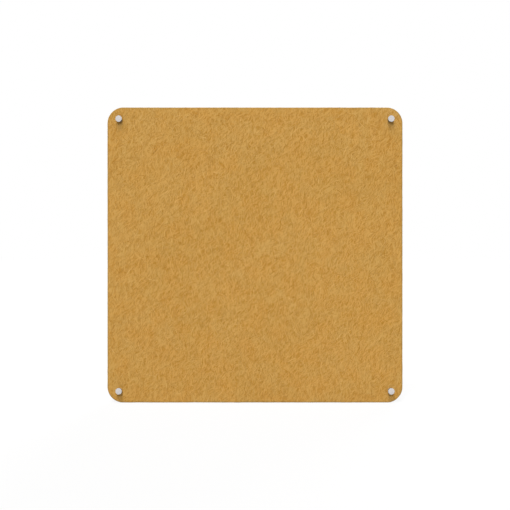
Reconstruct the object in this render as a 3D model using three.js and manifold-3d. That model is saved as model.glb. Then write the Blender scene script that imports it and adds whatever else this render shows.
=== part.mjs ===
// A square felt pinboard, held off the wall at its corners by four standoffs.
// Each standoff is a barrel screwed to the wall and a cap that is turned by hand: the stud on the cap
// passes through the felt into the barrel, and a washer on each side keeps the metal off the felt.
// Lengths are in millimetres and +Z is up. The wall is the plane Y = 0 and the board's front faces -Y.
// The origin lies on the wall, in the middle of the rectangle that the four wall screws make.

import * as THREE from 'three';
import { mergeVertices } from 'three/addons/utils/BufferGeometryUtils.js';
import Module from 'manifold-3d';

const wasm = await Module();
wasm.setup();

// Felt panel
const panelWidth = 600;
const panelHeight = 600;
const panelThickness = 12;
const panelCornerRadius = 32;
const panelEdgeRounding = 1;
const fixingInset = 24; // from the panel's edges to the middle of each fixing
const feltClearance = 0.5; // between the felt and the stud

// Caps and their studs
const fixingDiameter = 13; // of the cap's head and of the barrel
const capHeight = 5;
const capFrontChamfer = 0.5;
const capBackChamfer = 0.2;
const studDiameter = 8;
const studThreadPitch = 1.25;
const studThreadDepth = 0.68;
const studThreadSpare = 1; // thread that stays above the barrel when the cap is tight
const studReliefWidth = 1.2;
const studReliefDepth = 0.9;
const studTipChamfer = 0.9;
const studTipGap = 1; // between the stud's tip and the barrel's floor

// Washers
const washerThickness = 1;
const washerSetback = 0.25; // of the washer's rim from the cap's rim
const washerClearance = 0.3; // between the washer and the stud

// Barrels
const barrelLength = 15;
const barrelFloorThickness = 4;
const barrelEdgeChamfer = 0.4;
const threadClearance = 0.3; // between the stud's thread and the barrel's bore

// Wall screws
const screwLength = 35;
const screwDiameter = 3.5;
const screwThreadPitch = 2.2;
const screwThreadDepth = 0.55;
const screwShankLength = 12; // plain, below the head's cone
const screwShankDiameter = 2.1;
const screwTipLength = 4.5;
const screwTipDiameter = 0.5;
const screwHeadDiameter = 6.4;
const screwSeatGap = 0.3; // between the head's cone and the countersink
const screwHoleClearance = 0.35;
const recessSpan = 3; // of the cross recess in the head
const recessWidth = 0.8;
const recessDepth = 1.1;

// Wall plugs
const plugLength = 30;
const plugDiameter = 6;
const plugRimDiameter = 7.6;
const plugRimThickness = 0.6;
const plugRimClearance = 0.3; // between the rim and the recess in the barrel's back
const plugBoreClearance = 0.3; // between the screw's thread and the plug's bore
const plugCollarLength = 6; // plain, behind the rim
const plugToothDepth = 0.4;
const plugSlitLength = 19;
const plugSlitWidth = 0.9;

// A cutter reaches this far past what it cuts, and a joined piece this far into its neighbour
const overrun = 1;

// Each thread's section: share of the pitch, and share of the thread's depth that stands there
const studThreadShares = [[0, 1], [0.16, 1], [0.58, 0]];
const screwThreadShares = [[0, 0], [0.6, 0], [0.8, 1]];

const plugTeeth = 5;
const cornerSteps = 7;
const roundingSteps = 2;
const roundSegments = 24;
const plugSegments = 12;
const studSegments = 12;
const screwHeadSegments = 16;
const screwSegments = 8;

// Depths in front of the wall, from the back of the stack to its front
const panelDepth = barrelLength + washerThickness;
const frontWasherDepth = panelDepth + panelThickness;
const capDepth = frontWasherDepth + washerThickness;

const fixingRadius = fixingDiameter / 2;
const studRadius = studDiameter / 2;
const screwRadius = screwDiameter / 2;
const screwHeadRadius = screwHeadDiameter / 2;
const plugRimRadius = plugRimDiameter / 2;
const fixingX = panelWidth / 2 - fixingInset;
const fixingZ = panelHeight / 2 - fixingInset;

const felt = new THREE.MeshStandardMaterial({ color: 0xc3944b, roughness: 0.95, metalness: 0 });
const satinSteel = new THREE.MeshStandardMaterial({ color: 0xd2d2d6, roughness: 0.35, metalness: 0.9 });
const clearNylon = new THREE.MeshStandardMaterial({ color: 0xe6e6e0, roughness: 0.45, metalness: 0 });
const zincPlate = new THREE.MeshStandardMaterial({ color: 0xbfc3c8, roughness: 0.3, metalness: 0.9 });
const greyNylon = new THREE.MeshStandardMaterial({ color: 0x9a9da0, roughness: 0.55, metalness: 0 });
for (const material of [felt, satinSteel, clearNylon, zincPlate, greyNylon]) material.flatShading = true;

// The solid inside a closed geometry: points that coincide become one, and triangles that this
// flattens are left out.
function solidOf(geometry) {
  geometry.deleteAttribute('normal');
  geometry.deleteAttribute('uv');
  const merged = mergeVertices(geometry);
  const corners = merged.index.array;
  const triangles = [];
  for (let i = 0; i < corners.length; i += 3) {
    const [a, b, c] = corners.slice(i, i + 3);
    if (a !== b && b !== c && c !== a) triangles.push(a, b, c);
  }
  return new wasm.Manifold(new wasm.Mesh({
    numProp: 3,
    vertProperties: new Float32Array(merged.attributes.position.array),
    triVerts: new Uint32Array(triangles),
  }));
}

function geometryOf(solid) {
  const mesh = solid.getMesh();
  const geometry = new THREE.BufferGeometry();
  geometry.setAttribute('position', new THREE.BufferAttribute(mesh.vertProperties, 3));
  geometry.setIndex(new THREE.BufferAttribute(mesh.triVerts, 1));
  geometry.computeVertexNormals();
  return geometry;
}

// A solid turned about the Y axis. The outline is a list of [radius, depth], the depth counted forwards
// from the piece's seat. It goes from back to front on the outside, and it starts and ends on the axis
// or closes on itself.
function turned(outline, segments) {
  const loop = outline[0][0] === 0 ? outline : [...outline, outline[0]];
  const points = loop.map(([radius, depth]) => new THREE.Vector2(radius, -depth));
  return solidOf(new THREE.LatheGeometry(points.reverse(), segments));
}

// A bar with a right-hand thread, from its tip at depth -length to its flat end at depth zero. Each turn
// repeats the thread's section one pitch further on, and the ends and the tapered tip hold it in.
function threadedBar({ radius, threadDepth, pitch, shares, length, tipRadius, tipLength, segments }) {
  const root = radius - threadDepth;
  const rows = shares.length;
  const rings = rows * (Math.ceil(length / pitch) + 1);
  const positions = [];
  for (let step = 0; step < segments; step += 1) {
    const angle = (2 * Math.PI * step) / segments;
    for (let ring = 0; ring <= rings; ring += 1) {
      const [pitchShare, depthShare] = shares[ring % rows];
      const turns = Math.floor(ring / rows) - 1 + pitchShare + step / segments;
      const height = Math.min(Math.max(pitch * turns, 0), length);
      const isEnd = height === 0 || height === length;
      const taper = tipRadius + ((radius - tipRadius) * height) / tipLength;
      const reach = Math.min(isEnd ? root : root + threadDepth * depthShare, taper);
      positions.push(reach * Math.cos(angle), length - height, reach * Math.sin(angle));
    }
  }
  // The step after the last one is the first again, one turn further on.
  const at = (step, ring) => (step < segments ? step * (rings + 1) + ring : ring + rows);
  const triangles = [];
  for (let step = 0; step < segments; step += 1) {
    const last = step === segments - 1 ? rings - rows : rings;
    for (let ring = 0; ring < last; ring += 1) {
      triangles.push(at(step, ring), at(step + 1, ring), at(step + 1, ring + 1));
      triangles.push(at(step, ring), at(step + 1, ring + 1), at(step, ring + 1));
    }
  }
  // Each end is flat, and fans out from its middle.
  const middle = positions.length / 3;
  positions.push(0, length, 0, 0, 0, 0);
  for (let step = 0; step < segments; step += 1) {
    const next = (step + 1) % segments;
    triangles.push(middle, at(next, 0), at(step, 0));
    triangles.push(middle + 1, at(step, rings), at(next, rings));
  }
  const geometry = new THREE.BufferGeometry();
  geometry.setAttribute('position', new THREE.Float32BufferAttribute(positions, 3));
  geometry.setIndex(triangles);
  return solidOf(geometry);
}

function makePanel() {
  const x = panelWidth / 2;
  const z = panelHeight / 2;
  const corner = panelCornerRadius;
  const outline = new THREE.Shape();
  outline.absarc(x - corner, z - corner, corner, 0, Math.PI / 2);
  outline.absarc(corner - x, z - corner, corner, Math.PI / 2, Math.PI);
  outline.absarc(corner - x, corner - z, corner, Math.PI, 1.5 * Math.PI);
  outline.absarc(x - corner, corner - z, corner, 1.5 * Math.PI, 2 * Math.PI);
  const slab = new THREE.ExtrudeGeometry(outline, {
    depth: panelThickness - 2 * panelEdgeRounding,
    curveSegments: cornerSteps,
    bevelThickness: panelEdgeRounding,
    bevelSize: panelEdgeRounding,
    bevelOffset: -panelEdgeRounding,
    bevelSegments: roundingSteps,
  });
  slab.translate(0, 0, panelEdgeRounding).rotateX(Math.PI / 2);
  const radius = studRadius + feltClearance;
  const end = panelThickness + overrun;
  const hole = turned([[0, -overrun], [radius, -overrun], [radius, end], [0, end]], roundSegments);
  let panel = solidOf(slab);
  for (const holeX of [-fixingX, fixingX]) {
    for (const holeZ of [-fixingZ, fixingZ]) panel = panel.subtract(hole.translate([holeX, 0, holeZ]));
  }
  return panel;
}

// The cap's head stands forwards from its seat, and its stud reaches back.
function makeCap() {
  const tip = barrelFloorThickness + studTipGap - capDepth;
  const threadEnd = studThreadSpare + barrelLength - capDepth;
  const shankStart = threadEnd + studReliefWidth;
  const reliefRadius = studRadius - studReliefDepth;
  const head = turned([
    [0, threadEnd - overrun],
    [reliefRadius, threadEnd - overrun],
    [reliefRadius, shankStart],
    [studRadius, shankStart],
    [studRadius, 0],
    [fixingRadius - capBackChamfer, 0],
    [fixingRadius, capBackChamfer],
    [fixingRadius, capHeight - capFrontChamfer],
    [fixingRadius - capFrontChamfer, capHeight],
    [0, capHeight],
  ], roundSegments);
  const stud = threadedBar({
    radius: studRadius,
    threadDepth: studThreadDepth,
    pitch: studThreadPitch,
    shares: studThreadShares,
    length: threadEnd - tip,
    tipRadius: studRadius - studTipChamfer,
    tipLength: studTipChamfer,
    segments: studSegments,
  });
  return head.add(stud.translate([0, -threadEnd, 0]));
}

function makeWasher() {
  const outer = fixingRadius - washerSetback;
  const bore = studRadius + washerClearance;
  return turned([[bore, 0], [outer, 0], [outer, washerThickness], [bore, washerThickness]], roundSegments);
}

// The barrel's seat is the wall. A recess in its back clears the plug's rim.
function makeBarrel() {
  const bore = studRadius + threadClearance;
  const hole = screwRadius + screwHoleClearance;
  const countersink = screwHeadRadius + screwSeatGap;
  const recess = plugRimRadius + plugRimClearance;
  const recessEnd = plugRimThickness + plugRimClearance;
  const floor = barrelFloorThickness;
  return turned([
    [recess, 0],
    [fixingRadius, 0],
    [fixingRadius, barrelLength - barrelEdgeChamfer],
    [fixingRadius - barrelEdgeChamfer, barrelLength],
    [bore + barrelEdgeChamfer, barrelLength],
    [bore, barrelLength - barrelEdgeChamfer],
    [bore, floor],
    [countersink, floor],
    [hole, floor - (countersink - hole)],
    [hole, recessEnd],
    [recess, recessEnd],
  ], roundSegments);
}

// The screw's seat is the top of its head, flush with the barrel's floor.
function makeScrew() {
  const shankRadius = screwShankDiameter / 2;
  const coneEnd = shankRadius - screwHeadRadius;
  const shankEnd = coneEnd - screwShankLength;
  const head = turned([
    [0, shankEnd - overrun],
    [shankRadius, shankEnd - overrun],
    [shankRadius, coneEnd],
    [screwHeadRadius, 0],
    [0, 0],
  ], screwHeadSegments);
  const bar = threadedBar({
    radius: screwRadius,
    threadDepth: screwThreadDepth,
    pitch: screwThreadPitch,
    shares: screwThreadShares,
    length: screwLength + shankEnd,
    tipRadius: screwTipDiameter / 2,
    tipLength: screwTipLength,
    segments: screwSegments,
  });
  const slot = new THREE.BoxGeometry(recessSpan, 2 * recessDepth, recessWidth);
  const crossSlot = slot.clone().rotateY(Math.PI / 2);
  return head.add(bar.translate([0, -shankEnd, 0])).subtract(solidOf(slot).add(solidOf(crossSlot)));
}

// The plug's seat is the wall: its rim lies on the wall, in the barrel's recess, and its teeth rise
// towards the front, so that they slide in and hold. Crossed slits let its back half spread.
function makePlug() {
  const bore = screwRadius + plugBoreClearance;
  const outer = plugDiameter / 2;
  const root = outer - plugToothDepth;
  const toothLength = (plugLength - plugCollarLength) / plugTeeth;
  const outline = [[bore, -plugLength]];
  for (let tooth = 0; tooth < plugTeeth; tooth += 1) {
    const toothEnd = (tooth + 1) * toothLength - plugLength;
    outline.push([root, toothEnd - toothLength], [outer, toothEnd]);
  }
  outline.push([outer, 0], [plugRimRadius, 0], [plugRimRadius, plugRimThickness], [bore, plugRimThickness]);
  const slitWidth = plugDiameter + 2 * overrun;
  const slit = new THREE.BoxGeometry(slitWidth, plugSlitLength + overrun, plugSlitWidth);
  slit.translate(0, plugLength - (plugSlitLength - overrun) / 2, 0);
  const crossSlit = slit.clone().rotateY(Math.PI / 2);
  return turned(outline, plugSegments).subtract(solidOf(slit)).subtract(solidOf(crossSlit));
}

function addPiece(group, name, solid, material, depth) {
  const piece = new THREE.Mesh(geometryOf(solid), material);
  piece.name = name;
  piece.position.y = -depth;
  group.add(piece);
}

const pinboard = new THREE.Group();
addPiece(pinboard, 'felt_panel', makePanel(), felt, panelDepth);
for (const [row, up] of [['top', 1], ['bottom', -1]]) {
  for (const [side, right] of [['left', -1], ['right', 1]]) {
    const place = `${row}_${side}`;
    const fixing = new THREE.Group();
    fixing.position.set(right * fixingX, 0, up * fixingZ);
    addPiece(fixing, `${place}_wall_plug`, makePlug(), greyNylon, 0);
    addPiece(fixing, `${place}_wall_screw`, makeScrew(), zincPlate, barrelFloorThickness);
    addPiece(fixing, `${place}_barrel`, makeBarrel(), satinSteel, 0);
    addPiece(fixing, `${place}_rear_washer`, makeWasher(), clearNylon, barrelLength);
    addPiece(fixing, `${place}_front_washer`, makeWasher(), clearNylon, frontWasherDepth);
    addPiece(fixing, `${place}_cap`, makeCap(), satinSteel, capDepth);
    pinboard.add(fixing);
  }
}

export default pinboard;
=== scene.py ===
# A square mustard felt pinboard on four turned metal standoffs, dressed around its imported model.
# Lengths are in metres. The wall is the plane Y = 0, the board's front faces -Y and +Z is up.

import math

import bpy
import numpy as np
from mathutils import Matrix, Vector
from mathutils.geometry import delaunay_2d_cdt


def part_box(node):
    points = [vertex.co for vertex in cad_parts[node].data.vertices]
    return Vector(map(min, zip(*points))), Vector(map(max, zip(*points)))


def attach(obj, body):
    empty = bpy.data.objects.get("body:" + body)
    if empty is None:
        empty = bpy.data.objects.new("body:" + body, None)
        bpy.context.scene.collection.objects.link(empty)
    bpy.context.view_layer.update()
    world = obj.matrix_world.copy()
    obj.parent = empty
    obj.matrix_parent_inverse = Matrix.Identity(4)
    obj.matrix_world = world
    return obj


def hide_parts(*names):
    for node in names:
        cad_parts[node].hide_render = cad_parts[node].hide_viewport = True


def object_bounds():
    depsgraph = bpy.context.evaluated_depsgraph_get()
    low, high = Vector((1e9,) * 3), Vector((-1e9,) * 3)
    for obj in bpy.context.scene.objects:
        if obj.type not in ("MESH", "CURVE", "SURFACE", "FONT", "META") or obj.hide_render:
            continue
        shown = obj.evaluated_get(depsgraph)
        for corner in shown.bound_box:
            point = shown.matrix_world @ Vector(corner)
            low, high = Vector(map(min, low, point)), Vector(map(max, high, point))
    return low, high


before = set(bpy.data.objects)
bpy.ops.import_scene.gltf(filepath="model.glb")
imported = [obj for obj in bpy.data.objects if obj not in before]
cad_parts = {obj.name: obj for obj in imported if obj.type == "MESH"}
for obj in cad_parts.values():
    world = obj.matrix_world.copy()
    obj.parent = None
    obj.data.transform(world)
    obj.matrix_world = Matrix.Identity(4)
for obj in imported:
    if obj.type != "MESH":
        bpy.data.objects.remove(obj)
cad_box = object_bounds()

MM = 0.001
PLACES = ("top_left", "top_right", "bottom_left", "bottom_right")

# Seeds of the draws that have no table below
FRONT_SEED, BACK_SEED, FIXINGS_SEED, SLAB_SEED = 4, 5, 9, 11

# The photograph: its side and the board's width in it, in pixels, and the camera's distance
PHOTO_SIDE_PIXELS = 510
BOARD_WIDTH_PIXELS = 295
CAMERA_TO_BOARD = 1.1
SENSOR_WIDTH_MM = 36

# Lamps: irradiance on a face turned to the lamp, direction from the board, and spread in degrees.
# An irradiance of 1 in all shows a colour as it is written.
LAMPS = {
    "key_light": (0.6, (-0.1, -0.72, 0.69), 40),
    "top_light": (0.85, (-0.09, -0.3, 0.95), 16),
    "back_light": (0.75, (0.3, 0.8, 0.55), 40),
}
SKY_LEVEL = 0.1
FLOOR_HALF_WIDTH = 30
FLOOR_GAP = 0.5 * MM
FLOOR_GLOW = 0.888
FLOOR_SHADE = 0.075
FLOOR_BOUNCE = 0.36

# The panel, from its CAD box
panel_low, panel_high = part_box("felt_panel")
HALF_WIDTH = (panel_high.x - panel_low.x) / 2
HALF_HEIGHT = (panel_high.z - panel_low.z) / 2
FRONT_Y = panel_low.y
BACK_Y = panel_high.y
THICKNESS = BACK_Y - FRONT_Y
CORNER_RADIUS = 32 * MM
HOLE_RADIUS = 4.5 * MM
EDGE_ROUNDING = 0.7 * MM

# Where each fixing's axis crosses the board, as rows of x and z, and the washers on the felt
cap_boxes = [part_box(place + "_cap") for place in PLACES]
AXES = np.array([((low.x + high.x) / 2, (low.z + high.z) / 2) for low, high in cap_boxes])
washer_low, washer_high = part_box("top_left_front_washer")
WASHER_RADIUS = (washer_high.x - washer_low.x) / 2

# The felt's mesh
FRONT_SPACING = 2.9 * MM
BACK_SPACING = 4.3 * MM
OUTLINE_SPACING = 2 * MM
OUTLINE_CLEARANCE = 1.6 * MM
HOLE_POINTS = 40
EDGE_ROWS = 10
ROUNDING_STEPS = 3
JITTER_SHARE = 0.28
SLAB_SHARP_DEGREES = 50
TRIANGLES_INSIDE = 1
TRIANGLES_TOLERANCE = 1e-9

# The cut edge: waves so many times round the board, layers that stand out unevenly, in lumps of so many
# points of the outline, the share of painted shade on the cut edge, and the reach over which painted shade
# along the outline fades in
EDGE_WAVE = 0.12 * MM
EDGE_WAVE_COUNTS = (7, 19, 41, 73, 120)
EDGE_WAVE_PHASE = 6.3
EDGE_LAYER = 0.09 * MM
EDGE_LAYER_POINTS = 14
EDGE_PAINTED_SHADE_SHARE = 0.35
PAINTED_RIM_REACH = 3 * MM

# The felt's relief
RELIEF_CELL = 1 * MM
LUMP_PERIOD = 12 * MM
LUMP_BAND = 0.55
LUMP_STRETCH = 1.8
LUMP_HEIGHT = 0.03 * MM
SWELL_PERIOD = 140 * MM
SWELL_STRETCH = 1
SWELL_HEIGHT = 0.12 * MM
DIMPLE_DEPTH = 0.3 * MM
DIMPLE_REACH = 9 * MM
LAST_CELL = 1.001

# Fibres that lie on the felt lean like a slash, in a broad spread. Their turn is the same from upright.
FIBRE_LEAN = math.radians(70)
FIBRE_TURN = math.pi / 2 - FIBRE_LEAN
FIBRE_MARGIN = 2 * MM
EDGE_MARGIN = 0.5 * MM
WASHER_MARGIN = 1 * MM
CURL_TO_DRIFT = 9

# Steps that spread any number of fibres evenly over a sheet, as shares of its sides: the powers of the
# plastic number, the real root of x cubed = x + 1
PLASTIC_NUMBER = sum(((9 + sign * math.sqrt(69)) / 18) ** (1 / 3) for sign in (1, -1))
EVEN_STEPS = PLASTIC_NUMBER ** np.array([-1.0, -2.0])

# How each layer's fibres run: seed, count, spread of headings, least and greatest length, steps and curl
BOLD_PATHS = (1, 2650, 0.65, 12 * MM, 34 * MM, 9, 0.8)
DEEP_PATHS = (10, 2650, 0.65, 9 * MM, 26 * MM, 9, 0.7)
FINE_PATHS = (2, 5400, 0.75, 9 * MM, 24 * MM, 6, 0.9)
BACK_PATHS = (3, 3000, 0.7, 14 * MM, 36 * MM, 9, 0.8)
EDGE_PATHS = (13, 4600, 0.5, 3 * MM, 11 * MM, 6, 1.1)

# Sections of fibres, as corners: share of the half width, and raised or sunk
FLAT_BAR = ((-1, 0), (1, 0), (0.45, 1), (-0.45, 1))
ROUND_BAR = ((-1, 0), (1, 0), (0, 1))

# Their shapes: seed, section, least and greatest width, rise above the felt, and how far some stand off
LOCK_WIDTH = (0.4 * MM, 1.4 * MM)
DEEP_BAR = (12, FLAT_BAR, LOCK_WIDTH, 0.07 * MM, 0)
BOLD_BAR = (6, FLAT_BAR, LOCK_WIDTH, 0.11 * MM, 0)
FINE_BAR = (7, ROUND_BAR, (0.25 * MM, 0.7 * MM), 0.1 * MM, 0.15 * MM)
BACK_BAR = (8, ROUND_BAR, LOCK_WIDTH, 0.1 * MM, 0)
EDGE_BAR = (14, ROUND_BAR, (0.12 * MM, 0.35 * MM), 0.1 * MM, 0.8 * MM)
ARCH_POWER = 0.75
LEAST_RISE_SHARE = 0.4
END_WIDTH_SHARE = 0.12
TOP_SINK_SHARE = 0.15
FOOT_SINK_SHARE = 0.4

# Colours are linear, scales of noise are in cells a metre, and a bend is its period and its reach
WOOL = (0.451, 0.2, 0.0161)
WOOL_BLOOM = (0.85, 0.65, 0.35)
WOOL_BUMP = 0.2 * MM
BROAD_BEND = (24 * MM, 12 * MM)
CLOSE_BEND = (7 * MM, 3 * MM)
MIDDLE_RANGE = (0.3, 0.7)

# What lies on the wool, and how far it covers what is below, and its colour
DEEP_COVER = (0.65, (0.331, 0.128, 0.0044))
PALE_COVER = (0.87, (0.599, 0.326, 0.078))
LONG_HAIR_COVER = (0.5, (0.617, 0.372, 0.111))
SHORT_HAIR_COVER = (0.4, (0.605, 0.362, 0.107))
# Painted shade along the outline and on the cut edge
PAINTED_RIM_SHADE = (0.6, (0.284, 0.19, 0.056))
# Painted shade in the gaps between the cut edge's layers
GAP_PAINTED_SHADE = (0.45, (0.31, 0.15, 0.028))

# Hairs and tufts: turns from the fibres' lean, size of one, and the range of noise in which tufts show
LONG_HAIRS = ((-0.75, -0.2, 0.25, 0.8), (2.2 * MM, 2.2 * MM, 18 * MM))
SHORT_HAIRS = ((-1.1, -0.4, 0.4, 1.2), (0.9 * MM, 0.9 * MM, 9 * MM))
PALE_TUFTS = ((-0.5, 0, 0.55), (2 * MM, 3 * MM, 17 * MM), 0.54, 0.7)
DEEP_TUFTS = ((-0.3, 0.15, 0.6), (2 * MM, 3 * MM, 11 * MM), 0.53, 0.7)
TURN_OFFSETS = (1, 3, 2)
HAIR_WIDTH_SHARE = 0.07
HAIR_PATCH_SCALE = 160
HAIR_PATCH_RANGE = (0.3, 0.6)
LEAST_HAIR_SHARE = 0.25
LONG_HAIR_RISE, SHORT_HAIR_RISE, TUFT_RISE, LOCK_RISE = 0.6, 0.35, 0.3, 0.5

# Slow drifts of the wool's colour: scale, roughness and range of the noise, and the tints it lies between
WOOL_DRIFTS = (
    (26, 0.5, (0.34, 0.66), (1.013, 0.991, 0.955), (0.987, 1.009, 1.045)),
    (9, 0.6, MIDDLE_RANGE, (0.985, 0.98, 0.955), (1.015, 1.02, 1.045)),
)

# Thin layers in the cut edge, which shows where the felt faces less to the front or the back
LAYER_BEND = (30 * MM, 2 * MM)
LAYER_CELL = (26 * MM, 0.7 * MM, 26 * MM)
LAYER_RANGE = (0.36, 0.64)
CUT_EDGE_FACING = (0.25, 0.7)

# The fibres' darkest and lightest colours, and the fine hairs along them, whose bend is in hairs
FIBRE_COLOURS = {
    "pale": ((0.536, 0.272, 0.045), (0.721, 0.458, 0.158)),
    "plain": ((0.43, 0.182, 0.0155), (0.644, 0.388, 0.116)),
    "deep": ((0.327, 0.126, 0.005), (0.421, 0.182, 0.0165)),
}
FIBRE_HAIR_WIDTH = 0.3 * MM
FIBRE_HAIR_LENGTH = 9 * MM
FIBRE_HAIR_BEND = (3, 1.5)
FIBRE_DRIFT_SCALE = 60
TONE_SPREAD = 0.5
FRAY_SPREAD = 1.7
FRAY_RANGE = (0.2, 0.9)

# Metals: colour, share of metal, roughness, scales of rings and patches, and the painted shade of walls and
# of undersides
STEEL = ((0.657, 0.631, 0.62), 0.5, 0.22, 5200, 300, 0.45, 0.08)
ZINC = ((0.58, 0.61, 0.66), 0.85, 0.26, 3000, 700, 1, 0.7)
RING_DEPTH = 0.02 * MM
RING_LEAN = 1.7
WORN_SHARE = 0.9
SCUFF_STRETCH = (1, 6, 1)
SCUFFS_A_PATCH = 5
SCUFF_RANGE = (0.35, 0.75)
# Facings over which the painted shade goes from undersides to walls, and from walls to faces
PAINTED_UNDERSIDE_FACING = (-0.8, 0.1)
FACE_FACING = (0.1, 0.5)
POLISH_SPREAD = (-0.05, 0.08)

# Plastics: dark and light colour, roughness, cloudiness, and scale of patches
CLEAR_NYLON = ((0.36, 0.32, 0.23), (0.46, 0.42, 0.32), 0.38, 0.2, 220)
GREY_NYLON = ((0.26, 0.27, 0.28), (0.33, 0.34, 0.35), 0.5, 0.1, 260)
SKIN_CELLS_A_PATCH = 14
SKIN_DEPTH = 0.05 * MM
SKIN_SPREAD = (-0.06, 0.08)
NYLON_DEPTH = 0.6 * MM

# The fixings' sizes that their boxes don't give
TURNED_SEGMENTS = 72
SMALL_SEGMENTS = 40
SHARP_DEGREES = 40
SOFT_STEPS = 3
SOFT_SHARE = 0.45
WELD_DISTANCE = 0.0001 * MM
CAP_FRONT_CHAMFER = 0.3 * MM
CAP_BACK_CHAMFER = 0.2 * MM
CAP_SOFTENING = 0.12 * MM
STUD_RADIUS = 4 * MM
STUD_SPARE = 1 * MM
STUD_RELIEF_WIDTH = 1.2 * MM
STUD_RELIEF_DEPTH = 0.9 * MM
STUD_TIP_CHAMFER = 0.9 * MM
CLEARANCE = 0.3 * MM
WASHER_SOFTENING = 0.22 * MM
BARREL_CHAMFER = 0.4 * MM
BARREL_SOFTENING = 0.12 * MM
SCREW_RADIUS = 1.75 * MM
SCREW_SHANK_LENGTH = 12 * MM
SCREW_SHANK_RADIUS = 1.05 * MM
SCREW_SOFTENING = 0.15 * MM
SCREW_HOLE_CLEARANCE = 0.35 * MM
RECESS_SPAN = 3 * MM
RECESS_WIDTH = 0.8 * MM
RECESS_DEPTH = 1.1 * MM
PLUG_RADIUS = 3 * MM
PLUG_COLLAR_LENGTH = 6 * MM
PLUG_TEETH = 5
PLUG_TOOTH_DEPTH = 0.4 * MM
PLUG_SLIT_LENGTH = 19 * MM
PLUG_SLIT_WIDTH = 0.9 * MM
PLUG_SOFTENING = 0.12 * MM

# Each thread's section: share of the pitch, and share of the groove's depth that stands there
STUD_SECTION = ((0, 0.94), (0.04, 1), (0.12, 1), (0.16, 0.94), (0.5, 0.06), (0.55, 0), (0.61, 0),
                (0.66, 0.06))
SCREW_SECTION = ((0, 0.04), (0.05, 0), (0.55, 0), (0.6, 0.04), (0.77, 0.94), (0.79, 1), (0.81, 1),
                 (0.83, 0.94))

# Threads: radius, depth of the groove, pitch, section, radius and length of the tip, and segments
STUD_THREAD = (STUD_RADIUS, 0.68 * MM, 1.25 * MM, STUD_SECTION, STUD_RADIUS - STUD_TIP_CHAMFER,
               STUD_TIP_CHAMFER, TURNED_SEGMENTS)
SCREW_THREAD = (SCREW_RADIUS, 0.55 * MM, 2.2 * MM, SCREW_SECTION, 0.25 * MM, 4.5 * MM, SMALL_SEGMENTS)


# Small tools

def smoothstep(value):
    """Zero below 0 and one above 1, with a smooth rise between."""
    share = np.clip(value, 0, 1)
    return share * share * (3 - 2 * share)


def in_scene(name, data):
    """A new object in the scene."""
    made = bpy.data.objects.new(name, data)
    bpy.context.scene.collection.objects.link(made)
    return made


def add_piece(name, mesh, material, body, replaced=(), place=(0, 0, 0), spin=0):
    """A mesh piece that rides on a body, with its origin at place and turned about Y by spin."""
    mesh.materials.clear()
    mesh.materials.append(material)
    piece = in_scene(name, mesh)
    piece.location = place
    piece.rotation_euler = (0, spin, 0)
    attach(piece, body)
    if replaced:
        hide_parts(*replaced)


def new_mesh(name, points, faces, sharp_degrees=None):
    """A smooth mesh, with sharp edges where faces meet at more than sharp_degrees."""
    mesh = bpy.data.meshes.new(name)
    mesh.from_pydata(points, [], faces)
    mesh.validate()
    mesh.polygons.foreach_set("use_smooth", np.ones(len(mesh.polygons), bool))
    if sharp_degrees is not None:
        mesh.set_sharp_from_angle(angle=math.radians(sharp_degrees))
    mesh.update()
    return mesh


def add_attribute(mesh, name, values):
    """A number at each point, which a material reads by name."""
    attribute = mesh.attributes.new(name, "FLOAT", "POINT")
    attribute.data.foreach_set("value", np.asarray(values, np.float32))


def walls(first, second, count):
    """Faces between two loops of points, given by the number of each loop's first point."""
    following = [(k + 1) % count for k in range(count)]
    return [(first + k, first + n, second + n, second + k) for k, n in enumerate(following)]


# Materials

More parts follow.
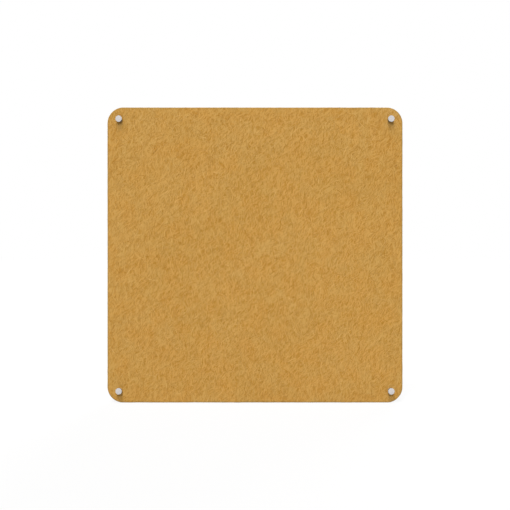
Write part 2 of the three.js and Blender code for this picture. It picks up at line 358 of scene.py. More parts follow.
class Graph:
    """The node tree of a new material or world, filled one node at a time."""

    def __init__(self, owner):
        self.owner = owner
        owner.use_nodes = True
        self.tree = owner.node_tree
        self.tree.nodes.clear()

    def node(self, kind, inputs=(), **settings):
        """A node of this kind. An input is a number, a colour, or a socket to link."""
        made = self.tree.nodes.new("ShaderNode" + kind)
        for key, value in settings.items():
            setattr(made, key, value)
        for key, value in dict(inputs).items():
            if isinstance(value, bpy.types.NodeSocket):
                self.tree.links.new(value, made.inputs[key])
            else:
                made.inputs[key].default_value = value
        return made

    def math(self, operation, first, second=0.0, clamp=False):
        return self.node("Math", {0: first, 1: second}, operation=operation, use_clamp=clamp).outputs[0]

    def times(self, first, second):
        return self.math("MULTIPLY", first, second)

    def plus(self, first, second, clamp=False):
        return self.math("ADD", first, second, clamp)

    def less(self, first, second):
        return self.math("SUBTRACT", first, second)

    def most(self, first, *others):
        """The greatest of several values."""
        for other in others:
            first = self.math("MAXIMUM", first, other)
        return first

    def position(self):
        """The point on the piece, in metres from its origin."""
        return self.node("TexCoord").outputs["Object"]

    def facing(self):
        """The parts of the direction that the surface faces, by axis."""
        return self.node("SeparateXYZ", {0: self.node("NewGeometry").outputs["Normal"]}).outputs

    def attribute(self, name):
        return self.node("Attribute", attribute_name=name).outputs["Fac"]

    def laid(self, vector, turn, cell):
        """The point in cells of this size, whose third side leans by turn from upright. Each turn has a
        place of its own in the noise."""
        offset = [turn * share for share in TURN_OFFSETS]
        inputs = {"Vector": vector, "Rotation": (0, turn, 0), "Scale": cell, "Location": offset}
        return self.node("Mapping", inputs, vector_type="TEXTURE").outputs[0]

    def bent(self, vector, period, reach):
        """The point pushed about smoothly, by up to half of reach each way."""
        inputs = {"Vector": vector, "Scale": 1 / period, "Detail": 0.0}
        push = self.node("TexNoise", inputs).outputs["Color"]
        centred = self.node("VectorMath", {0: push, 1: (0.5, 0.5, 0.5)}, operation="SUBTRACT").outputs[0]
        scaled = {0: centred, 1: (reach, reach, reach), 2: vector}
        return self.node("VectorMath", scaled, operation="MULTIPLY_ADD").outputs[0]

    def noise(self, vector, scale, detail=2.0, roughness=0.5, distortion=0.0):
        inputs = {"Vector": vector, "Scale": scale, "Detail": detail, "Roughness": roughness}
        inputs["Distortion"] = distortion
        return self.node("TexNoise", inputs).outputs[0]

    def ramp(self, value, low, high, to_low=0.0, to_high=1.0):
        """The value from low to high, spread smoothly over to_low to to_high."""
        inputs = {"Value": value, "From Min": low, "From Max": high, "To Min": to_low, "To Max": to_high}
        return self.node("MapRange", inputs, interpolation_type="SMOOTHSTEP").outputs[0]

    def mix(self, factor, first, second, blend="MIX"):
        """The colour between two colours."""
        inputs = {0: factor, 6: first, 7: second}
        return self.node("Mix", inputs, data_type="RGBA", blend_type=blend).outputs[2]

    def covered(self, colour, shown, cover):
        """The colour with something over it, where that shows."""
        share, top = cover
        return self.mix(self.times(shown, share), colour, rgb(*top))

    def bump(self, height, strength, distance):
        return self.node("Bump", {"Height": height, "Strength": strength, "Distance": distance}).outputs[0]

    def finish(self, shader, output="OutputMaterial"):
        self.node(output, {"Surface": shader.outputs[0]})
        return self.owner


def rgb(red, green, blue):
    """A linear colour as a socket takes it."""
    return (red, green, blue, 1.0)


def grey(level):
    return rgb(level, level, level)


def tufts(graph, point, turns, cell, low, high):
    """Soft slim streaks of about one cell in several directions, where a stretched noise peaks."""
    laid = [graph.laid(point, FIBRE_TURN + turn, cell) for turn in turns]
    return graph.most(*[graph.ramp(graph.noise(each, 1.0, 0.0), low, high) for each in laid])


def hairs(graph, point, turns, cell):
    """Thin lines that wander in several directions, where a stretched noise passes its middle."""
    laid = [graph.laid(point, FIBRE_TURN + turn, cell) for turn in turns]
    away = [graph.math("ABSOLUTE", graph.less(graph.noise(each, 1.0, 1.0, 0.4), 0.5)) for each in laid]
    return graph.most(*[graph.ramp(each, 0.0, HAIR_WIDTH_SHARE, 1.0, 0.0) for each in away])


def cloth(graph):
    """Colour and height of mustard wool felt: fine hairs over soft tufts, and painted shade along the
    board's outline and cut edge.
    """
    point = graph.bent(graph.bent(graph.position(), *BROAD_BEND), *CLOSE_BEND)
    patch = graph.noise(point, HAIR_PATCH_SCALE, 1.0)
    many = graph.ramp(patch, *HAIR_PATCH_RANGE, LEAST_HAIR_SHARE, 1.0)
    long_hairs = graph.times(hairs(graph, point, *LONG_HAIRS), many)
    short_hairs = hairs(graph, point, *SHORT_HAIRS)
    pale = tufts(graph, point, *PALE_TUFTS)
    deep = tufts(graph, point, *DEEP_TUFTS)
    colour = graph.covered(rgb(*WOOL), deep, DEEP_COVER)
    colour = graph.covered(colour, pale, PALE_COVER)
    colour = graph.covered(colour, long_hairs, LONG_HAIR_COVER)
    colour = graph.covered(colour, short_hairs, SHORT_HAIR_COVER)
    # Painted shade along the outline and the cut edge
    colour = graph.covered(colour, graph.attribute("painted_rim_shade"), PAINTED_RIM_SHADE)
    height = graph.plus(graph.times(long_hairs, LONG_HAIR_RISE), graph.times(short_hairs, SHORT_HAIR_RISE))
    return colour, graph.plus(height, graph.times(graph.less(pale, deep), TUFT_RISE))


def wool_shader(graph, colour, height):
    """Matt wool with a faint bloom. Its colour drifts in patches and over the whole board."""
    point = graph.position()
    drift = rgb(1, 1, 1)
    for scale, roughness, limits, first, second in WOOL_DRIFTS:
        place = graph.ramp(graph.noise(point, scale, 2.0, roughness), *limits)
        drift = graph.mix(1.0, drift, graph.mix(place, rgb(*first), rgb(*second)), "MULTIPLY")
    shader = graph.node("BsdfPrincipled", {
        "Base Color": graph.mix(1.0, colour, drift, "MULTIPLY"),
        "Roughness": 0.95,
        "Specular IOR Level": 0.15,
        "Sheen Weight": 0.1,
        "Sheen Roughness": 0.6,
        "Sheen Tint": rgb(*WOOL_BLOOM),
        "Normal": graph.bump(height, 0.5, WOOL_BUMP),
    })
    return graph.finish(shader)


def make_felt():
    """The panel's own felt, in thin layers that show along its cut edge, with painted shade in the gaps
    between them.
    """
    graph = Graph(bpy.data.materials.new("mustard_felt"))
    colour, height = cloth(graph)
    cut_edge = graph.ramp(graph.math("ABSOLUTE", graph.facing()["Y"]), *CUT_EDGE_FACING, 1.0, 0.0)
    layered = graph.laid(graph.bent(graph.position(), *LAYER_BEND), 0, LAYER_CELL)
    layers = graph.ramp(graph.noise(layered, 1.0, 2.0, 0.6), *LAYER_RANGE)
    # Gaps between the layers, lowered and given painted shade
    gaps = graph.times(cut_edge, graph.less(1.0, layers))
    return wool_shader(graph, graph.covered(colour, gaps, GAP_PAINTED_SHADE), graph.less(height, gaps))


def make_fibre(name, dark, light):
    """A lock of wool, from dark to light by its tone, with fine hairs along it that fray into the felt."""
    graph = Graph(bpy.data.materials.new(name))
    tone, core, along, across = [graph.attribute(part) for part in ("tone", "core", "along", "across")]
    across = graph.math("DIVIDE", across, FIBRE_HAIR_WIDTH)
    along = graph.math("DIVIDE", along, FIBRE_HAIR_LENGTH)
    strand = graph.node("CombineXYZ", {"X": across, "Y": along, "Z": tone}).outputs[0]
    lines = graph.ramp(graph.noise(graph.bent(strand, *FIBRE_HAIR_BEND), 1.0, 1.0), *MIDDLE_RANGE)
    uneven = graph.less(lines, 0.5)
    drift = graph.less(graph.noise(graph.position(), FIBRE_DRIFT_SCALE, 1.0), 0.5)
    tone = graph.plus(tone, graph.times(drift, TONE_SPREAD))
    tone = graph.plus(tone, graph.times(uneven, TONE_SPREAD), True)
    frayed = graph.ramp(graph.plus(core, graph.times(uneven, FRAY_SPREAD)), *FRAY_RANGE)
    felt, pile = cloth(graph)
    colour = graph.mix(frayed, felt, graph.mix(tone, rgb(*dark), rgb(*light)))
    return wool_shader(graph, colour, graph.plus(pile, graph.times(graph.times(lines, frayed), LOCK_RISE)))


def turning_marks(graph, point, scale):
    """Fine rings that a lathe leaves: round the axis on a face, and along the axis on a wall."""
    parts = graph.node("SeparateXYZ", {0: point}).outputs
    flat = graph.node("CombineXYZ", {"X": parts["X"], "Z": parts["Z"]}).outputs[0]
    radius = graph.node("VectorMath", {0: flat}, operation="LENGTH").outputs["Value"]
    rings = graph.plus(radius, graph.times(parts["Y"], RING_LEAN))
    inputs = {"W": rings, "Scale": scale, "Detail": 2.0}
    return graph.node("TexNoise", inputs, noise_dimensions="1D").outputs[0]


def make_metal(name, colour, metallic, roughness, ring_scale, patch_scale, painted_wall_shade, painted_underside_shade):
    """Bare or plated metal with turning marks and an uneven polish. Its round walls get painted shade that
    makes them darker than its faces, most of all underneath, and the share that isn't metallic is the haze
    of the finest marks."""
    graph = Graph(bpy.data.materials.new(name))
    point = graph.position()
    patches = graph.ramp(graph.noise(point, patch_scale, 3.0, 0.6), *MIDDLE_RANGE)
    tint = graph.mix(patches, rgb(*[WORN_SHARE * part for part in colour]), rgb(*colour))
    facing = graph.facing()
    # Painted shade: the walls are darkened, and the undersides more
    painted_underside = graph.ramp(facing["Z"], *PAINTED_UNDERSIDE_FACING, painted_underside_shade, painted_wall_shade)
    shade = graph.most(painted_underside, graph.ramp(graph.math("ABSOLUTE", facing["Y"]), *FACE_FACING))
    stretched = graph.node("Mapping", {"Vector": point, "Scale": SCUFF_STRETCH}).outputs[0]
    scuffs = graph.noise(stretched, patch_scale * SCUFFS_A_PATCH, 2.0, 0.7, 1.5)
    shader = graph.node("BsdfPrincipled", {
        "Base Color": graph.mix(1.0, tint, shade, "MULTIPLY"),
        "Metallic": metallic,
        "Roughness": graph.ramp(scuffs, *SCUFF_RANGE, *[roughness + part for part in POLISH_SPREAD]),
        "Normal": graph.bump(turning_marks(graph, point, ring_scale), 0.35, RING_DEPTH),
    })
    return graph.finish(shader)


def make_plastic(name, dark, light, roughness, subsurface, patch_scale):
    """Moulded nylon, a little cloudy, with a fine matt skin."""
    graph = Graph(bpy.data.materials.new(name))
    point = graph.position()
    cloud = graph.ramp(graph.noise(point, patch_scale, 3.0, 0.55), *MIDDLE_RANGE)
    skin = graph.noise(point, patch_scale * SKIN_CELLS_A_PATCH, 2.0, 0.6)
    shader = graph.node("BsdfPrincipled", {
        "Base Color": graph.mix(cloud, rgb(*dark), rgb(*light)),
        "Roughness": graph.ramp(skin, *MIDDLE_RANGE, *[roughness + part for part in SKIN_SPREAD]),
        "Subsurface Weight": subsurface,
        "Subsurface Radius": (1.0, 0.9, 0.8),
        "Subsurface Scale": NYLON_DEPTH,
        "Normal": graph.bump(skin, 0.2, SKIN_DEPTH),
    })
    return graph.finish(shader)


def seen_directly(graph):
    """One for rays that show a surface as it is: to the camera, and by way of metal or glass."""
    path = graph.node("LightPath").outputs
    return graph.most(path["Is Camera Ray"], path["Is Glossy Ray"], path["Is Transmission Ray"])


# Stage

def make_floor():
    """A white floor that keeps the board's shadow."""
    graph = Graph(bpy.data.materials.new("pale_floor"))
    glow = graph.node("Emission", {"Color": grey(1), "Strength": FLOOR_GLOW})
    shade = graph.node("BsdfDiffuse", {"Color": grey(FLOOR_SHADE)})
    seen = graph.node("AddShader", {0: glow.outputs[0], 1: shade.outputs[0]})
    bounce = graph.node("BsdfDiffuse", {"Color": grey(FLOOR_BOUNCE)})
    choice = {0: seen_directly(graph), 1: bounce.outputs[0], 2: seen.outputs[0]}
    side = FLOOR_HALF_WIDTH
    level = cad_box[0].z - FLOOR_GAP
    corners = [(-side, -side, level), (side, -side, level), (side, side, level), (-side, side, level)]
    mesh = bpy.data.meshes.new("floor")
    mesh.from_pydata(corners, [], [(0, 1, 2, 3)])
    mesh.materials.append(graph.finish(graph.node("MixShader", choice)))
    floor = in_scene("floor", mesh)


def make_sky():
    """Even light from all round, which shows as plain white."""
    graph = Graph(bpy.data.worlds.new("sky"))
    lit = graph.node("Background", {"Color": grey(1), "Strength": SKY_LEVEL})
    white = graph.node("Background", {"Color": grey(1)})
    choice = {0: seen_directly(graph), 1: lit.outputs[0], 2: white.outputs[0]}
    bpy.context.scene.world = graph.finish(graph.node("MixShader", choice), "OutputWorld")


def add_sun(name, level, direction, spread_degrees):
    """A soft lamp far away, in that direction from the board."""
    data = bpy.data.lights.new(name, "SUN")
    data.energy = level * math.pi
    data.angle = math.radians(spread_degrees)
    lamp = in_scene(name, data)
    lamp.visible_glossy = False
    lamp.rotation_mode = "QUATERNION"
    lamp.rotation_quaternion = Vector(direction).to_track_quat("Z", "Y")


def make_camera():
    """Straight in front of the board's middle, at the photograph's scale."""
    view_width = 2 * HALF_WIDTH * PHOTO_SIDE_PIXELS / BOARD_WIDTH_PIXELS
    data = bpy.data.cameras.new("camera")
    data.sensor_width = SENSOR_WIDTH_MM
    data.lens = SENSOR_WIDTH_MM * CAMERA_TO_BOARD / view_width
    camera = in_scene("camera", data)
    camera.location = (0, FRONT_Y - CAMERA_TO_BOARD, 0)
    camera.rotation_euler = (math.pi / 2, 0, 0)
    bpy.context.scene.camera = camera


# Felt panel

def outside(points):
    """How far points of x and z lie outside the panel's outline, less than zero inside."""
    over = np.abs(points) - (np.array([HALF_WIDTH, HALF_HEIGHT]) - CORNER_RADIUS)
    corner = np.linalg.norm(np.maximum(over, 0), axis=-1)
    return corner + np.minimum(over.max(axis=-1), 0) - CORNER_RADIUS


def from_axes(points):
    """Distance of points of x and z from the nearest fixing's axis."""
    return np.linalg.norm(points[..., None, :] - AXES, axis=-1).min(axis=-1)


def even_shares(rng, count):
    """Places spread evenly over a sheet, as shares of its two sides."""
    return (rng.uniform(0, 1, 2) + np.arange(count)[:, None] * EVEN_STEPS) % 1


def wander(rng, middles, headings, shortest, longest, steps, curl):
    """Curved paths through these middles, each about in its heading."""
    count = len(middles)
    bend = rng.normal(0, curl, (count, 1)) * np.linspace(-0.5, 0.5, steps)
    drift = np.cumsum(rng.normal(0, curl / CURL_TO_DRIFT, (count, steps)), axis=1)
    angles = headings[:, None] + bend + drift
    step = rng.uniform(shortest, longest, (count, 1)) / steps
    moves = np.stack((step * np.cos(angles), step * np.sin(angles)), axis=-1)
    paths = np.concatenate((np.zeros((count, 1, 2)), np.cumsum(moves, axis=1)), axis=1)
    return paths + middles[:, None] - paths.mean(axis=1, keepdims=True)


def relief(rng, period, stretch):
    """Random lumps about one period across, longer along the fibres' lean, with a spread of one."""
    shape = [round(2 * half / RELIEF_CELL) + 1 for half in (HALF_HEIGHT, HALF_WIDTH)]
    up, across = np.meshgrid(*[np.fft.fftfreq(count, RELIEF_CELL) for count in shape], indexing="ij")
    along = across * math.cos(FIBRE_LEAN) + up * math.sin(FIBRE_LEAN)
    aside = up * math.cos(FIBRE_LEAN) - across * math.sin(FIBRE_LEAN)
    size = np.hypot(along * stretch, aside) * period
    size[0, 0] = 1
    weight = np.exp(-((np.log(size) / LUMP_BAND) ** 2))
    weight[0, 0] = 0
    field = np.fft.ifft2(np.fft.fft2(rng.standard_normal(shape)) * weight).real
    return field / field.std()


class Face:
    """The front or the back of the felt, with its relief. Its points are x and z."""

    def __init__(self, rng, sign):
        self.sign = sign
        self.seat = FRONT_Y if sign > 0 else BACK_Y
        lumps = relief(rng, LUMP_PERIOD, LUMP_STRETCH)
        swell = relief(rng, SWELL_PERIOD, SWELL_STRETCH)
        self.heights = lumps * LUMP_HEIGHT + swell * SWELL_HEIGHT

    def sample(self, points):
        """The relief's height at any points, between its cells."""
        field = self.heights
        row = np.clip((points[:, 1] + HALF_HEIGHT) / RELIEF_CELL, 0, field.shape[0] - LAST_CELL)
        column = np.clip((points[:, 0] + HALF_WIDTH) / RELIEF_CELL, 0, field.shape[1] - LAST_CELL)
        i, j = row.astype(int), column.astype(int)
        u, v = row - i, column - j
        near = field[i, j] * (1 - v) + field[i, j + 1] * v
        far = field[i + 1, j] * (1 - v) + field[i + 1, j + 1] * v
        return near * (1 - u) + far * u

    def height(self, points):
        """Above the seat of the washers, which press the felt in around them."""
        pressed = smoothstep((from_axes(points) - WASHER_RADIUS) / DIMPLE_REACH)
        return pressed * (self.sample(points) + DIMPLE_DEPTH)

    def place(self, points, level):
        """Points of x, y and z at this level above the seat."""
        return np.stack((points[..., 0], self.seat - self.sign * level, points[..., 1]), axis=-1)

    def paths(self, seed, count, spread, *run):
        """Fibres over the face. Those that leave it or come near a washer are left out."""
        rng = np.random.default_rng(seed)
        middles = (2 * even_shares(rng, count) - 1) * np.array([HALF_WIDTH, HALF_HEIGHT])
        headings = FIBRE_LEAN + rng.normal(0, spread, count)
        paths = wander(rng, middles, headings, *run)
        inside = (outside(paths) < -FIBRE_MARGIN).all(axis=1)
        clear = (from_axes(paths) > WASHER_RADIUS + WASHER_MARGIN).all(axis=1)
        return paths[inside & clear]


class Edge:
    """The cut edge of the felt. Its points are the way round it and the depth behind the front."""

    def __init__(self):
        self.sign = -1
        self.loop, self.normals = panel_outline()
        steps = np.linalg.norm(np.roll(self.loop, -1, axis=0) - self.loop, axis=1)
        self.ways = np.cumsum(steps) - steps
        self.length = float(steps.sum())

    def height(self, points):
        return np.zeros(len(points))

    def place(self, points, level):
        """Points of x, y and z at this level outside the outline."""
        way = points[..., 0]
        x, z, out_x, out_z = (np.interp(way, self.ways, values, period=self.length)
                              for values in (*self.loop.T, *self.normals.T))
        return np.stack((x + out_x * level, FRONT_Y + points[..., 1], z + out_z * level), axis=-1)

    def paths(self, seed, count, spread, *run):
        """Fibres along the edge. Those that come near the front or the back are left out."""
        rng = np.random.default_rng(seed)
        middles = even_shares(rng, count) * np.array([self.length, THICKNESS])
        paths = wander(rng, middles, rng.normal(0, spread, count), *run)
        depth = paths[..., 1]
        return paths[((depth > EDGE_MARGIN) & (depth < THICKNESS - EDGE_MARGIN)).all(axis=1)]


def panel_outline():
    """The panel's outline from the right side upwards, as points of x and z and outward directions."""
    steps = round(CORNER_RADIUS * math.pi / 2 / OUTLINE_SPACING)
    points, normals = [], []
    for quarter, signs in enumerate(((1, 1), (-1, 1), (-1, -1), (1, -1))):
        centre = np.array(signs) * (np.array([HALF_WIDTH, HALF_HEIGHT]) - CORNER_RADIUS)
        for step in range(steps + 1):
            angle = math.pi / 2 * (quarter + step / steps)
            direction = np.array([math.cos(angle), math.sin(angle)])
            points.append(centre + CORNER_RADIUS * direction)
            normals.append(direction)
        side = 2 * (HALF_WIDTH if quarter % 2 == 0 else HALF_HEIGHT) - 2 * CORNER_RADIUS
        along = np.array([-direction[1], direction[0]])
        count = round(side / OUTLINE_SPACING)
        for step in range(1, count):
            points.append(points[-1] + along * side / count)
            normals.append(direction)
    return np.array(points), np.array(normals)


def face_points(rng, spacing):
    """Points scattered over one face, about evenly, clear of its outline and its holes."""
    row_step = spacing * math.sqrt(3) / 2
    rows = round(2 * HALF_HEIGHT / row_step)
    columns = round(2 * HALF_WIDTH / spacing)
    row, column = np.meshgrid(np.arange(rows + 1), np.arange(columns + 1), indexing="ij")
    x = (column + 0.5 * (row % 2)) * spacing - HALF_WIDTH
    z = row * row_step - HALF_HEIGHT
    points = np.stack((x.ravel(), z.ravel()), axis=1)
    points = points + rng.uniform(-1, 1, points.shape) * spacing * JITTER_SHARE
    inside = outside(points) < -EDGE_ROUNDING - OUTLINE_CLEARANCE
    clear = from_axes(points) > HOLE_RADIUS + OUTLINE_CLEARANCE
    return points[inside & clear]


def triangulate(loops, scattered):
    """Triangles over the face inside the first loop and outside the others. Loop points come first."""
    points = np.concatenate([*loops, scattered])
    edges = []
    start = 0
    for loop in loops:
        count = len(loop)
        edges += [(start + k, start + (k + 1) % count) for k in range(count)]
        start += count
    corners = [tuple(point) for point in points.tolist()]
    result = delaunay_2d_cdt(corners, edges, [], TRIANGLES_INSIDE, TRIANGLES_TOLERANCE)
    order = np.array([given[0] for given in result[3]])
    triangles = order[np.array([list(face) for face in result[2]])]
    middles = points[triangles].mean(axis=1)
    triangles = triangles[from_axes(middles) > HOLE_RADIUS * math.cos(math.pi / HOLE_POINTS)]
    return points, triangles


def edge_rings(rng):
    """Rows round the cut edge from front to back, as depths and loops of x and z, with its waves and its
    uneven layers."""
    angles = np.linspace(0, math.pi / 2, ROUNDING_STEPS + 1)
    depth = EDGE_ROUNDING * (1 - np.cos(angles))
    inset = EDGE_ROUNDING * (1 - np.sin(angles))
    flat = np.linspace(EDGE_ROUNDING, THICKNESS - EDGE_ROUNDING, EDGE_ROWS + 1)[1:-1]
    depths = np.concatenate((depth, flat, THICKNESS - depth[::-1]))
    insets = np.concatenate((inset, np.zeros(len(flat)), inset[::-1]))
    loop, normals = panel_outline()
    count = len(loop)
    travel = np.arange(count) / count * 2 * math.pi
    waves = [np.sin(travel * k + rng.uniform(0, EDGE_WAVE_PHASE)) / math.sqrt(k) for k in EDGE_WAVE_COUNTS]
    layers = rng.standard_normal((len(depths), count))
    kernel = np.exp(-0.5 * (np.fft.fftfreq(count, 1 / count) / (count / EDGE_LAYER_POINTS)) ** 2)
    layers = np.fft.ifft(np.fft.fft(layers, axis=1) * kernel, axis=1).real
    layers /= layers.std()
    full = np.clip(np.minimum(depths, THICKNESS - depths) / EDGE_ROUNDING, 0, 1)
    push = EDGE_WAVE * sum(waves) / 2 - insets[:, None] + EDGE_LAYER * layers * full[:, None]
    return depths, loop + normals * push[..., None]


def make_slab(front, back, material):
    """The felt: two faces with their relief, the cut edge between them and the walls of the holes."""
    rng = np.random.default_rng(SLAB_SEED)
    depths, rings = edge_rings(rng)
    count = rings.shape[1]
    turns = np.arange(HOLE_POINTS) / HOLE_POINTS * 2 * math.pi
    circle = HOLE_RADIUS * np.stack((np.cos(turns), np.sin(turns)), axis=1)
    holes = [axis + circle for axis in AXES]
    points, painted_rim_shades, faces, starts = [], [], [], []
    total = 0
    for face, ring, spacing in ((front, rings[0], FRONT_SPACING), (back, rings[-1], BACK_SPACING)):
        flat, triangles = triangulate([ring, *holes], face_points(rng, spacing))
        points.append(face.place(flat, face.height(flat)))
        # Painted shade that darkens the faces towards the outline
        painted_rim_shades.append(smoothstep(1 + outside(flat) / PAINTED_RIM_REACH))
        faces += (triangles[:, ::face.sign] + total).tolist()
        starts.append(total)
        total += len(flat)
    front_lift, back_lift = front.height(rings[0]), back.height(rings[-1])
    for depth, ring in zip(depths[1:-1], rings[1:-1]):
        share = depth / THICKNESS
        y = FRONT_Y + depth - front_lift * (1 - share) + back_lift * share
        points.append(np.stack((ring[:, 0], y, ring[:, 1]), axis=1))
        # The cut edge takes part of the same painted shade
        painted_rim_shades.append(np.full(count, EDGE_PAINTED_SHADE_SHARE))
    ring_starts = [starts[0], *[total + k * count for k in range(len(depths) - 2)], starts[1]]
    for upper, lower in zip(ring_starts, ring_starts[1:]):
        faces += walls(lower, upper, count)
    for hole in range(len(holes)):
        upper, lower = [start + count + hole * HOLE_POINTS for start in starts]
        faces += walls(upper, lower, HOLE_POINTS)
    mesh = new_mesh("felt_slab", np.concatenate(points), faces, SLAB_SHARP_DEGREES)
    add_attribute(mesh, "painted_rim_shade", np.concatenate(painted_rim_shades))
    add_piece("felt_slab", mesh, material, "board", ("felt_panel",))


def make_strands(name, paths, surface, material, seed, section, width, rise, stand):
    """Fibres that lie on a face or the edge, each a closed bar that sinks into the felt at its ends. Their
    widths are mostly near the lesser one, and their middles stand off by up to stand."""
    rng = np.random.default_rng(seed)
    count, stops = paths.shape[:2]
    corners = len(section)
    lift = surface.height(paths.reshape(-1, 2)).reshape(count, stops)
    ahead = np.gradient(paths, axis=1)
    ahead /= np.linalg.norm(ahead, axis=-1, keepdims=True)
    aside = np.stack((-ahead[..., 1], ahead[..., 0]), axis=-1)
    arch = np.sin(math.pi * np.linspace(0, 1, stops)) ** ARCH_POWER
    loose = rng.uniform(LEAST_RISE_SHARE, 1.0, (count, 1))
    thin, thick = width
    full = thin + (thick - thin) * rng.uniform(0, 1, (count, 1)) ** 2
    half = full / 2 * (END_WIDTH_SHARE + (1 - END_WIDTH_SHARE) * arch)
    lift = lift + stand * rng.uniform(0, 1, (count, 1)) ** 2 * arch
    top = lift + loose * rise * arch - TOP_SINK_SHARE * rise
    sunk = lift - FOOT_SINK_SHARE * rise
    rows, across, core = [], [], []
    for side, raised in section:
        spot = paths + aside * (side * half)[..., None]
        rows.append(surface.place(spot, top if raised else sunk))
        across.append(side * half)
        core.append(np.tile(raised * arch, (count, 1)))
    points = np.stack(rows, axis=2).reshape(-1, 3)
    first = (np.arange(count)[:, None] * stops + np.arange(stops - 1)) * corners
    quads = []
    for a in range(corners):
        b = (a + 1) % corners
        ring = (first + a, first + b, first + corners + b, first + corners + a)
        quads.append(np.stack(ring, axis=-1).reshape(-1, 4))
    quads = np.concatenate(quads)[:, ::surface.sign]
    starts = np.arange(count)[:, None] * stops * corners
    ends = starts + (stops - 1) * corners
    order = np.arange(corners)
    caps = np.concatenate((starts + order[::-1], ends + order))[:, ::surface.sign]
    mesh = new_mesh(name, points, quads.tolist() + caps.tolist())
    step = np.linalg.norm(np.diff(paths, axis=1), axis=-1)
    along = np.concatenate((np.zeros((count, 1)), np.cumsum(step, axis=1)), axis=1)
    along += np.arange(count)[:, None] * 2 * along.max()
    add_attribute(mesh, "tone", np.repeat(rng.uniform(0, 1, count), stops * corners))
    add_attribute(mesh, "along", np.repeat(along.ravel(), corners))
    add_attribute(mesh, "across", np.stack(across, axis=2).ravel())
    add_attribute(mesh, "core", np.stack(core, axis=2).ravel())
    add_piece(name, mesh, material, "board")


def make_felt_pieces():
    """The slab, and the layers of fibres on its front, its back and its cut edge."""
    felt = make_felt()
    wool = {name: make_fibre(name + "_fibre", *colours) for name, colours in FIBRE_COLOURS.items()}
    front = Face(np.random.default_rng(FRONT_SEED), 1)
    back = Face(np.random.default_rng(BACK_SEED), -1)
    edge = Edge()
    make_slab(front, back, felt)
    layers = (
        ("deep", front, wool["deep"], DEEP_PATHS, DEEP_BAR),
        ("bold", front, wool["pale"], BOLD_PATHS, BOLD_BAR),
        ("fine", front, wool["plain"], FINE_PATHS, FINE_BAR),
        ("back", back, wool["pale"], BACK_PATHS, BACK_BAR),
        ("edge", edge, wool["plain"], EDGE_PATHS, EDGE_BAR),
    )
    for name, surface, material, run, bar in layers:
        make_strands(f"felt_{name}_fibres", surface.paths(*run), surface, material, *bar)


# Turned and moulded pieces. Each mesh has its origin on its fixing's axis, where that meets the wall.
# An outline is a list of radius and depth, the depth counted forwards from the wall. It goes from back
# to front on the outside, and it starts and ends on the axis or closes on itself.

def extent(part):
    """Depths of a part's back and front before the wall, and its radius. The four fixings are alike."""
    low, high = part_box("top_left_" + part)
    return -high.y, -low.y, (high.x - low.x) / 2


def softened(outline, rounding, closed=False):
    """The outline with each of its corners off the axis rounded."""
    given = np.array(outline, float)
    count = len(given)
    result = []
    for k, corner in enumerate(given):
        if not closed and k in (0, count - 1):
            result.append(corner)
            continue
        sides = given[k - 1] - corner, given[(k + 1) % count] - corner
        start, end = [corner + side * min(rounding / np.linalg.norm(side), SOFT_SHARE) for side in sides]
        for share in np.linspace(0, 1, SOFT_STEPS + 1):
            result.append(start * (1 - share) ** 2 + corner * 2 * share * (1 - share) + end * share ** 2)
    if closed:
        result.append(result[0])
    return result


def lathe(outline, segments):
    """The skin of an outline turned about the axis, as points and faces."""
    radii, depths = np.array(outline, float).T
    angles = np.arange(segments) / segments * 2 * math.pi
    x, z = np.outer(np.cos(angles), radii), np.outer(np.sin(angles), radii)
    points = np.stack((x, np.tile(-depths, (segments, 1)), z), axis=-1).reshape(-1, 3)
    count = len(radii)
    faces = []
    for step in range(segments):
        here, there = step * count, (step + 1) % segments * count
        faces += [(here + k, there + k, there + k + 1, here + k + 1) for k in range(count - 1)]
    return points, faces


def thread(radius, groove, pitch, section, tip, end, tip_radius, tip_length, segments):
    """The skin of a right-hand thread from the depth tip to the depth end. The section gives shares of
    the pitch and of the groove's depth that stands there, and the ends and the tapered tip hold it in."""
    root = radius - groove
    rows = len(section)
    length = end - tip
    rings = rows * (math.ceil(length / pitch) + 1)
    points = []
    for step in range(segments):
        angle = 2 * math.pi * step / segments
        for ring in range(rings + 1):
            pitch_share, groove_share = section[ring % rows]
            turns = ring // rows - 1 + pitch_share + step / segments
            height = min(max(pitch * turns, 0), length)
            taper = tip_radius + (radius - tip_radius) * height / tip_length
            standing = 0 if height in (0, length) else groove_share
            reach = min(root + groove * standing, taper)
            points.append((reach * math.cos(angle), -(tip + height), reach * math.sin(angle)))
    faces = []
    for step in range(segments):
        last = step == segments - 1
        here = step * (rings + 1)
        there = rows if last else here + rings + 1
        for ring in range(rings - rows if last else rings):
            a, b, c, d = here + ring, there + ring, there + ring + 1, here + ring + 1
            faces += [(a, b, c), (a, c, d)]
    return np.array(points), faces


def welded(*skins):
    """One skin from several that share their rims. Points that coincide become one."""
    points = np.concatenate([skin[0] for skin in skins])
    faces = []
    start = 0
    for skin_points, skin_faces in skins:
        faces += [[start + k for k in face] for face in skin_faces]
        start += len(skin_points)
    keys = np.round(points / WELD_DISTANCE).astype(np.int64)
    first, place = np.unique(keys, axis=0, return_index=True, return_inverse=True)[1:]
    place = place.ravel()
    corners = [list(dict.fromkeys(place[face].tolist())) for face in faces]
    return points[first], [face for face in corners if len(face) > 2]


def bolt(head, softening, back, radius, groove, pitch, section, tip_radius, tip_length, segments):
    """A head with soft edges, whose outline starts where the thread ends, and the thread from the tip at
    the depth back."""
    neck_radius, end = head[0]
    bar = thread(radius, groove, pitch, section, back, end, tip_radius, tip_length, segments)
    neck = lathe([(radius - groove, end), (neck_radius, end)], segments)
    tip = lathe([(0, back), (tip_radius, back)], segments)
    return welded(tip, bar, neck, lathe(softened(head, softening), segments))


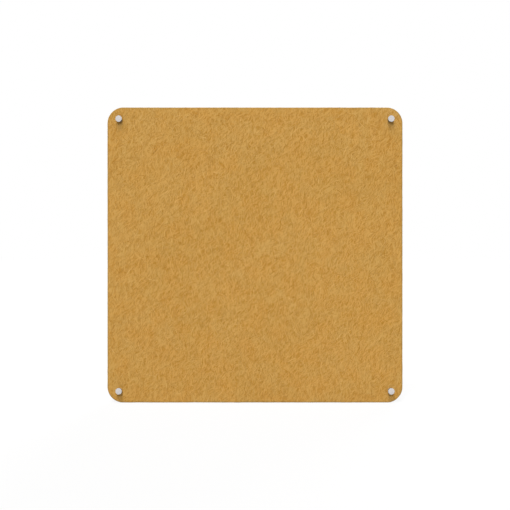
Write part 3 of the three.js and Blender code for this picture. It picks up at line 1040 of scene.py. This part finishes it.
def cross_skin(reach, thin, low, high):
    """A bar along Y with a cross-shaped section, from its middle to the arms' ends and half their width."""
    quarter = [(reach, thin), (thin, thin), (thin, reach)]
    corners = []
    for turn in range(4):
        corners += quarter
        quarter = [(-z, x) for x, z in quarter]
    points = [(x, y, z) for y in (low, high) for x, z in corners]
    count = len(corners)
    ends = [tuple(range(count)), tuple(range(2 * count - 1, count - 1, -1))]
    return np.array(points), ends + walls(count, 0, count)


def cut(skin, cutter):
    """The skin's solid less the solid of the cutter."""
    holder = in_scene("cutting", new_mesh("cutting", *skin))
    tool = in_scene("cutter", new_mesh("cutter", *cutter))
    change = holder.modifiers.new("cut", "BOOLEAN")
    change.operation = "DIFFERENCE"
    change.solver = "EXACT"
    change.object = tool
    bpy.context.view_layer.update()
    shown = holder.evaluated_get(bpy.context.evaluated_depsgraph_get())
    result = shown.to_mesh()
    points = np.array([vertex.co for vertex in result.vertices])
    faces = [tuple(face.vertices) for face in result.polygons]
    shown.to_mesh_clear()
    for piece in (holder, tool):
        bpy.data.objects.remove(piece)
    return points, faces


def cap_skin():
    """Head and stud in one: a plain shank, a relief groove and a thread below the head."""
    back, front, radius = extent("cap")
    washer_back, washer_front = extent("front_washer")[:2]
    seat = -FRONT_Y + (washer_front - washer_back)
    end = extent("barrel")[1] + STUD_SPARE
    neck = STUD_RADIUS - STUD_RELIEF_DEPTH
    head = [
        (neck, end), (neck, end + STUD_RELIEF_WIDTH), (STUD_RADIUS, end + STUD_RELIEF_WIDTH),
        (STUD_RADIUS, seat), (radius - CAP_BACK_CHAMFER, seat), (radius, seat + CAP_BACK_CHAMFER),
        (radius, front - CAP_FRONT_CHAMFER), (radius - CAP_FRONT_CHAMFER, front), (0, front),
    ]
    return bolt(head, CAP_SOFTENING, back, *STUD_THREAD)


def washer_skin(part):
    """A flat ring with soft edges."""
    back, front, outer = extent(part)
    bore = STUD_RADIUS + CLEARANCE
    ring = [(bore, back), (outer, back), (outer, front), (bore, front)]
    return welded(lathe(softened(ring, WASHER_SOFTENING, True), TURNED_SEGMENTS))


def barrel_skin():
    """A cup with its floor at the wall: a countersunk hole in the floor, and a recess behind it."""
    back, front, radius = extent("barrel")
    floor, head_radius = extent("wall_screw")[1:]
    rim_front, rim_radius = extent("wall_plug")[1:]
    bore = STUD_RADIUS + CLEARANCE
    hole = SCREW_RADIUS + SCREW_HOLE_CLEARANCE
    sink = head_radius + CLEARANCE
    recess = rim_radius + CLEARANCE
    recess_end = rim_front + CLEARANCE
    ring = [
        (recess, back), (radius, back), (radius, front - BARREL_CHAMFER),
        (radius - BARREL_CHAMFER, front), (bore + BARREL_CHAMFER, front), (bore, front - BARREL_CHAMFER),
        (bore, floor), (sink, floor), (hole, floor - (sink - hole)), (hole, recess_end),
        (recess, recess_end),
    ]
    return welded(lathe(softened(ring, BARREL_SOFTENING, True), TURNED_SEGMENTS))


def screw_skin():
    """A countersunk wood screw with a cross recess, a plain shank and a tapered tip."""
    back, front, head_radius = extent("wall_screw")
    cone_end = front - (head_radius - SCREW_SHANK_RADIUS)
    end = cone_end - SCREW_SHANK_LENGTH
    head = [(SCREW_SHANK_RADIUS, end), (SCREW_SHANK_RADIUS, cone_end), (head_radius, front), (0, front)]
    body = bolt(head, SCREW_SOFTENING, back, *SCREW_THREAD)
    recess = cross_skin(RECESS_SPAN / 2, RECESS_WIDTH / 2, -front - RECESS_DEPTH, -front + RECESS_DEPTH)
    return cut(body, recess)


def plug_skin():
    """A nylon plug with a rim, saw teeth that rise towards it, and crossed slits in its back."""
    back, front, rim_radius = extent("wall_plug")
    bore = SCREW_RADIUS + CLEARANCE
    root = PLUG_RADIUS - PLUG_TOOTH_DEPTH
    tooth = (-back - PLUG_COLLAR_LENGTH) / PLUG_TEETH
    ring = [(bore, back)]
    for k in range(PLUG_TEETH):
        ring += [(root, back + k * tooth), (PLUG_RADIUS, back + (k + 1) * tooth)]
    ring += [(PLUG_RADIUS, 0), (rim_radius, 0), (rim_radius, front), (bore, front)]
    body = welded(lathe(softened(ring, PLUG_SOFTENING, True), SMALL_SEGMENTS))
    reach = PLUG_RADIUS + PLUG_TOOTH_DEPTH
    slits = cross_skin(reach, PLUG_SLIT_WIDTH / 2, -back - PLUG_SLIT_LENGTH, -back + PLUG_TOOTH_DEPTH)
    return cut(body, slits)


def make_fixings():
    """The four fixings. Like pieces share one mesh, and each stands at an angle of its own."""
    steel = make_metal("satin_turned_steel", *STEEL)
    zinc = make_metal("bright_zinc_plate", *ZINC)
    clear = make_plastic("clear_nylon", *CLEAR_NYLON)
    matt = make_plastic("grey_nylon", *GREY_NYLON)
    front_ring, rear_ring = washer_skin("front_washer"), washer_skin("rear_washer")
    # Part in the CAD, name of the piece, skin, material, slot, and the part's own body
    kinds = (
        ("cap", "turned_cap", cap_skin(), steel, "satin_steel", "cap_body"),
        ("front_washer", "front_nylon_ring", front_ring, clear, "clear_nylon", "washer_body"),
        ("rear_washer", "rear_nylon_ring", rear_ring, clear, "clear_nylon", None),
        ("barrel", "turned_barrel", barrel_skin(), steel, "satin_steel", None),
        ("wall_screw", "zinc_screw", screw_skin(), zinc, "zinc_plate", None),
        ("wall_plug", "ribbed_plug", plug_skin(), matt, "grey_nylon", None),
    )
    rng = np.random.default_rng(FIXINGS_SEED)
    for part, name, skin, material, slot, own_body in kinds:
        mesh = new_mesh(name, *skin, SHARP_DEGREES)
        for place, (x, z) in zip(PLACES, AXES):
            body = f"{place}_{own_body}" if own_body else "board"
            spin = rng.uniform(0, 2 * math.pi)
            add_piece(f"{place}_{name}", mesh, material, body, (f"{place}_{part}",), (x, 0, z), spin)


make_camera()
make_floor()
make_sky()
for lamp_name, (level, direction, spread) in LAMPS.items():
    add_sun(lamp_name, level, direction, spread)
make_felt_pieces()
make_fixings()

bpy.context.scene.view_settings.view_transform = "Standard"
